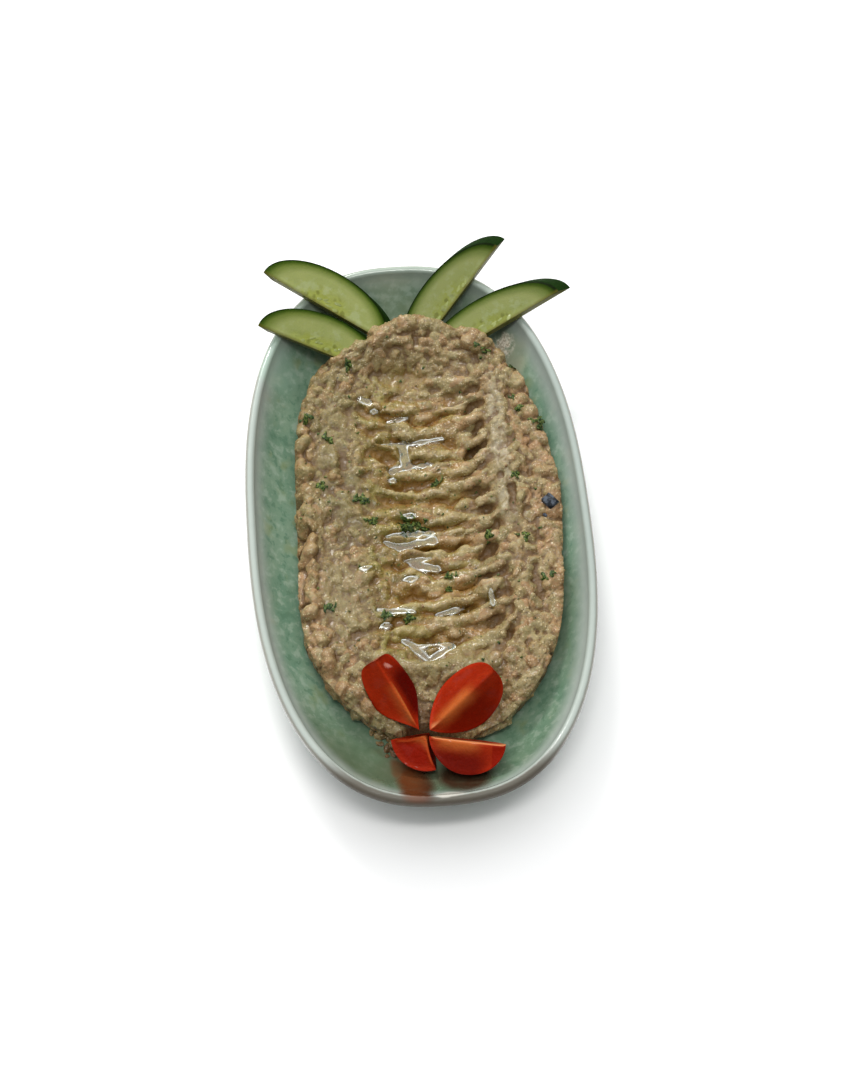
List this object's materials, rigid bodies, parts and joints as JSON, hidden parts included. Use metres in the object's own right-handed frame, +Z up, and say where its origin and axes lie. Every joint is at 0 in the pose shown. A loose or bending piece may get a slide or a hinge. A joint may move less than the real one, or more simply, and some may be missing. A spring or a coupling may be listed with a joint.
{
  "type": "baba ganoush in an oval dish",
  "caption": "Baba ganoush spread in an oval green glazed dish, with oil, parsley, cucumber slices and tomato wedges.",
  "frame": {"origin": "middle of the dish's flat underside, where it stands", "axes": "+Z up out of the dish, +Y along its length to the end with the cucumber slices, +X to the side with the higher bank of dip"},
  "size_m": [0.148, 0.259, 0.043],
  "materials": {
    "glazed_stoneware": "glossy mottled celadon glaze",
    "aubergine_dip": "moist, lumpy, with olive oil",
    "cucumber": "wet cut flesh with dark green skin",
    "tomato": "wet cut flesh with smooth red skin"
  },
  "bodies": {
    "root": {"dish": "glazed_stoneware", "baba_ganoush": "aubergine_dip", "cucumber_slice_1": "cucumber", "cucumber_slice_2": "cucumber", "cucumber_slice_3": "cucumber", "cucumber_slice_4": "cucumber", "tomato_wedge_1": "tomato", "tomato_wedge_2": "tomato", "tomato_wedge_3": "tomato", "tomato_half_wedge": "tomato"}
  },
  "joints": []
}
